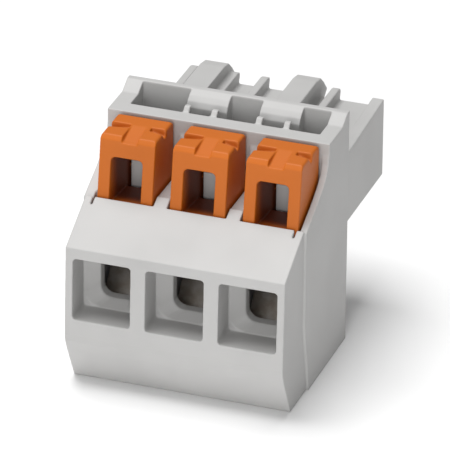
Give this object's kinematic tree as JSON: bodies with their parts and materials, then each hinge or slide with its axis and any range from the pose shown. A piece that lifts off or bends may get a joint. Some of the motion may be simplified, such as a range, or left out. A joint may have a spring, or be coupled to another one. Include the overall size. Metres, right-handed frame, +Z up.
{
  "type": "lever wire connector",
  "caption": "Pluggable wire connector block with square wire ports, an orange release lever over each pole, clamp springs inside and a keyed socket plug behind.",
  "frame": {"origin": "under the middle of the whole object, on the plane of the front housing's underside", "axes": "+X along the row of poles, -Y towards the conductors, +Y towards the header the plug enters, +Z up towards the levers"},
  "size_m": [0.0232, 0.0322, 0.0256],
  "materials": {
    "housing": "light grey moulded polyamide, fine matt",
    "lever": "orange moulded plastic, satin",
    "tinned_copper": "copper alloy strip with a dull tin coat",
    "spring_steel": "bright rolled stainless strip"
  },
  "bodies": {
    "housing": {"front_housing": "housing", "plug_housing": "housing", "clamp_spring_1": "spring_steel", "current_bar_1": "tinned_copper", "socket_contact_1": "tinned_copper", "contact_spring_1": "spring_steel", "clamp_spring_2": "spring_steel", "current_bar_2": "tinned_copper", "socket_contact_2": "tinned_copper", "contact_spring_2": "spring_steel", "clamp_spring_3": "spring_steel", "current_bar_3": "tinned_copper", "socket_contact_3": "tinned_copper", "contact_spring_3": "spring_steel"},
    "lever_1": {"release_lever_1": "lever"},
    "leg_1": {"clamp_leg_1": "spring_steel"},
    "lever_2": {"release_lever_2": "lever"},
    "leg_2": {"clamp_leg_2": "spring_steel"},
    "lever_3": {"release_lever_3": "lever"},
    "leg_3": {"clamp_leg_3": "spring_steel"}
  },
  "joints": [
    {"name": "lever_1_press", "type": "hinge", "parent": "housing", "child": "lever_1", "pos_m": [-0.00742, -0.00005, 0.0179], "axis": [1, 0, 0], "range_deg": [0, 15], "stiffness_Nm_per_rad": 0.15, "springref_deg": -28.65},
    {"name": "leg_1_bend", "type": "hinge", "parent": "housing", "child": "leg_1", "pos_m": [-0.00742, -0.00865, 0.0046], "axis": [1, 0, 0], "range_deg": [-10, 0]},
    {"name": "lever_2_press", "type": "hinge", "parent": "housing", "child": "lever_2", "pos_m": [0.0002, -0.00005, 0.0179], "axis": [1, 0, 0], "range_deg": [0, 15], "stiffness_Nm_per_rad": 0.15, "springref_deg": -28.65},
    {"name": "leg_2_bend", "type": "hinge", "parent": "housing", "child": "leg_2", "pos_m": [0.0002, -0.00865, 0.0046], "axis": [1, 0, 0], "range_deg": [-10, 0]},
    {"name": "lever_3_press", "type": "hinge", "parent": "housing", "child": "lever_3", "pos_m": [0.00782, -0.00005, 0.0179], "axis": [1, 0, 0], "range_deg": [0, 15], "stiffness_Nm_per_rad": 0.15, "springref_deg": -28.65},
    {"name": "leg_3_bend", "type": "hinge", "parent": "housing", "child": "leg_3", "pos_m": [0.00782, -0.00865, 0.0046], "axis": [1, 0, 0], "range_deg": [-10, 0]}
  ],
  "couplings": [
    {"joint": "leg_1_bend", "follows": "lever_1_press", "ratio": -0.6},
    {"joint": "leg_2_bend", "follows": "lever_2_press", "ratio": -0.6},
    {"joint": "leg_3_bend", "follows": "lever_3_press", "ratio": -0.6}
  ]
}
